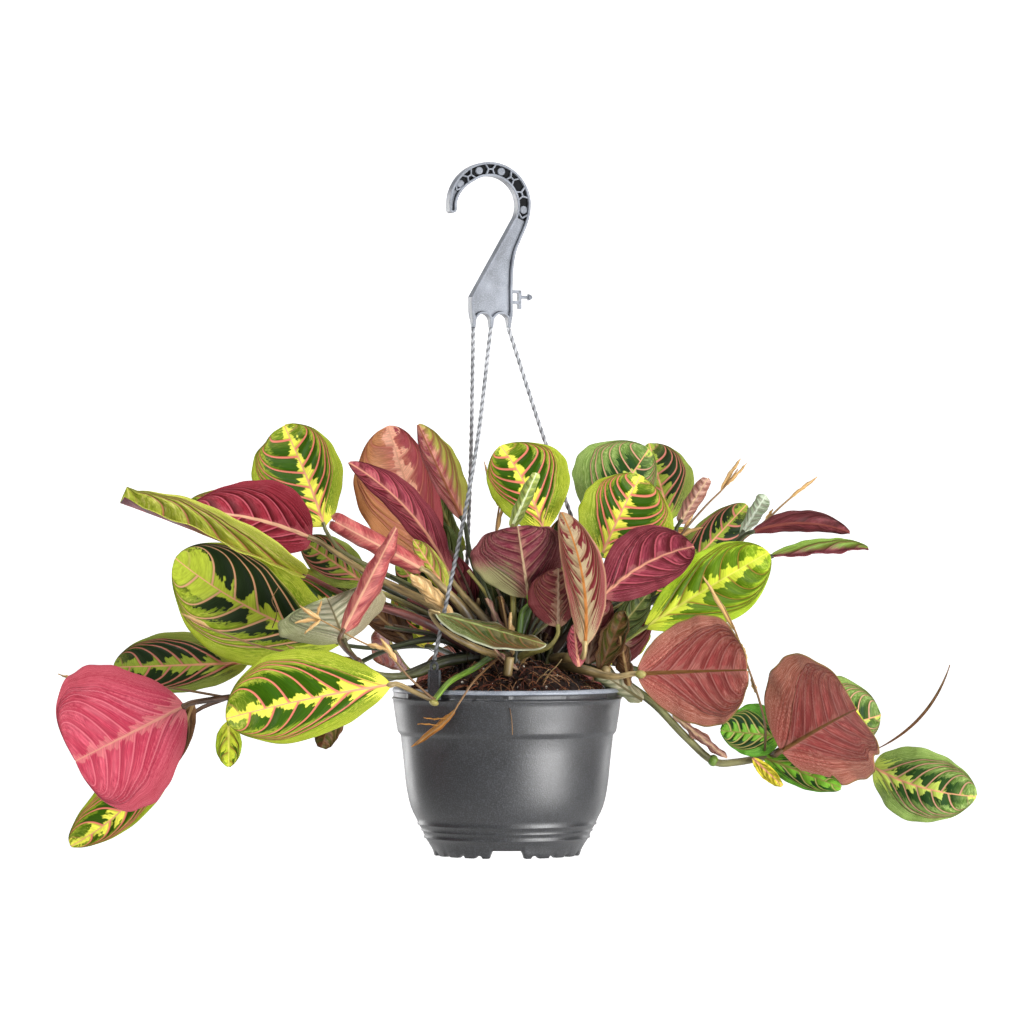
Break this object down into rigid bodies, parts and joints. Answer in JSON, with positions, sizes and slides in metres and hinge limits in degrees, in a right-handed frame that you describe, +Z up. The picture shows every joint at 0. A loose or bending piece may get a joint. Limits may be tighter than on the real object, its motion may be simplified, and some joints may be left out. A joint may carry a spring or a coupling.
{
  "type": "potted prayer plant maranta",
  "caption": "Trailing prayer plant with patterned and folded leaves in a round plastic pot that hangs by cords from a hook.",
  "frame": {"origin": "the hook's seat, the top of the inside of its arc, where it rests on a rail", "axes": "+Z up, +Y away from the viewer of the reference picture, +X to that viewer's right"},
  "size_m": [0.5891, 0.2885, 0.4512],
  "materials": {
    "pot_plastic": "satin",
    "hook_plastic": "satin",
    "clip_plastic": "satin",
    "cord_plastic": "satin",
    "potting_mix": "matte",
    "stem": "satin",
    "leaf_upper": "satin",
    "leaf_underside": "satin"
  },
  "bodies": {
    "root": {"clip_back": "clip_plastic", "clip_front": "clip_plastic", "clip_right": "clip_plastic", "cord_back": "cord_plastic", "cord_front": "cord_plastic", "cord_right": "cord_plastic", "hanger_hook": "hook_plastic", "leaf_back_high": "leaf_upper", "leaf_back_left": "leaf_upper", "leaf_back_low": "leaf_underside", "leaf_back_low_left": "leaf_underside", "leaf_back_right": "leaf_upper", "leaf_burgundy_folded": "leaf_underside", "leaf_burgundy_left": "leaf_underside", "leaf_burgundy_long_right": "leaf_underside", "leaf_burgundy_right": "leaf_underside", "leaf_crimson_low_centre": "leaf_underside", "leaf_dark_low_left": "leaf_upper", "leaf_dark_middle_left": "leaf_upper", "leaf_dark_right": "leaf_upper", "leaf_dark_top_right": "leaf_upper", "leaf_flopped_front": "leaf_upper", "leaf_folded_long_left": "leaf_upper", "leaf_folded_thin_right": "leaf_upper", "leaf_green_behind_rose": "leaf_upper", "leaf_green_small_right": "leaf_upper", "leaf_grey_green_far_right": "leaf_upper", "leaf_grey_green_top": "leaf_upper", "leaf_large_left": "leaf_upper", "leaf_lime_behind_left": "leaf_upper", "leaf_lime_bright_right": "leaf_upper", "leaf_lime_front_left": "leaf_upper", "leaf_lime_lowest_left": "leaf_upper", "leaf_lime_right": "leaf_upper", "leaf_lime_top_centre": "leaf_upper", "leaf_lime_top_left": "leaf_upper", "leaf_mauve_centre": "leaf_underside", "leaf_olive_narrow": "leaf_underside", "leaf_pale_under_left": "leaf_underside", "leaf_peach_top": "leaf_underside", "leaf_pink_far_left": "leaf_underside", "leaf_pink_green_top": "leaf_underside", "leaf_pink_rolled": "leaf_underside", "leaf_pink_tube": "leaf_underside", "leaf_pink_tube_right": "leaf_underside", "leaf_rose_far_right": "leaf_underside", "leaf_rose_right": "leaf_underside", "leaf_small_hanging": "leaf_upper", "leaf_spike_right": "leaf_underside", "leaf_standing_centre": "leaf_underside", "leaf_white_tube": "leaf_underside", "leaf_young_rolled": "leaf_underside", "pot": "pot_plastic", "potting_mix": "potting_mix", "shoot_back_left": "leaf_upper", "shoot_back_right": "leaf_upper", "stems_back": "stem", "stems_centre": "stem", "stems_left": "stem", "stems_right": "stem"}
  },
  "joints": []
}
